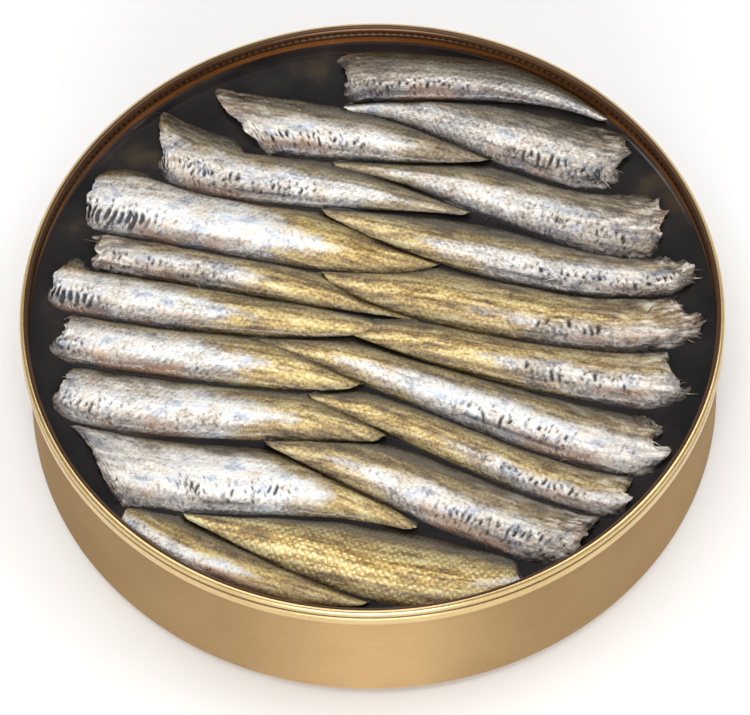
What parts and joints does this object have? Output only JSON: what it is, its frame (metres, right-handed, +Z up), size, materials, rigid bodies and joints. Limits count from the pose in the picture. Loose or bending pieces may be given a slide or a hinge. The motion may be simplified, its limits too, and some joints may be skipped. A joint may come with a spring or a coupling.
{
  "type": "sardine tin",
  "caption": "Open round shallow tin with a rolled double seam, filled with small silver fish in oil, laid like shingles with heads to both sides.",
  "frame": {"origin": "centre of the foot, on the surface the tin stands on", "axes": "+Z up through the open top; -Y towards the viewer; +X to the viewer's right"},
  "size_m": [0.1024, 0.1024, 0.024],
  "materials": {
    "lacquered_tinplate": "satin gold lacquer over drawn tinplate",
    "oil": "still, glossy dark oil",
    "fish_skin": "wet silver skin turning gold towards the tail"
  },
  "bodies": {
    "root": {"tin": "lacquered_tinplate", "oil": "oil", "sprat_01": "fish_skin", "sprat_02": "fish_skin", "sprat_03": "fish_skin", "sprat_04": "fish_skin", "sprat_05": "fish_skin", "sprat_06": "fish_skin", "sprat_07": "fish_skin", "sprat_08": "fish_skin", "sprat_09": "fish_skin", "sprat_10": "fish_skin", "sprat_11": "fish_skin", "sprat_12": "fish_skin", "sprat_13": "fish_skin", "sprat_14": "fish_skin", "sprat_15": "fish_skin", "sprat_16": "fish_skin", "sprat_17": "fish_skin", "sprat_18": "fish_skin", "sprat_19": "fish_skin"}
  },
  "joints": []
}
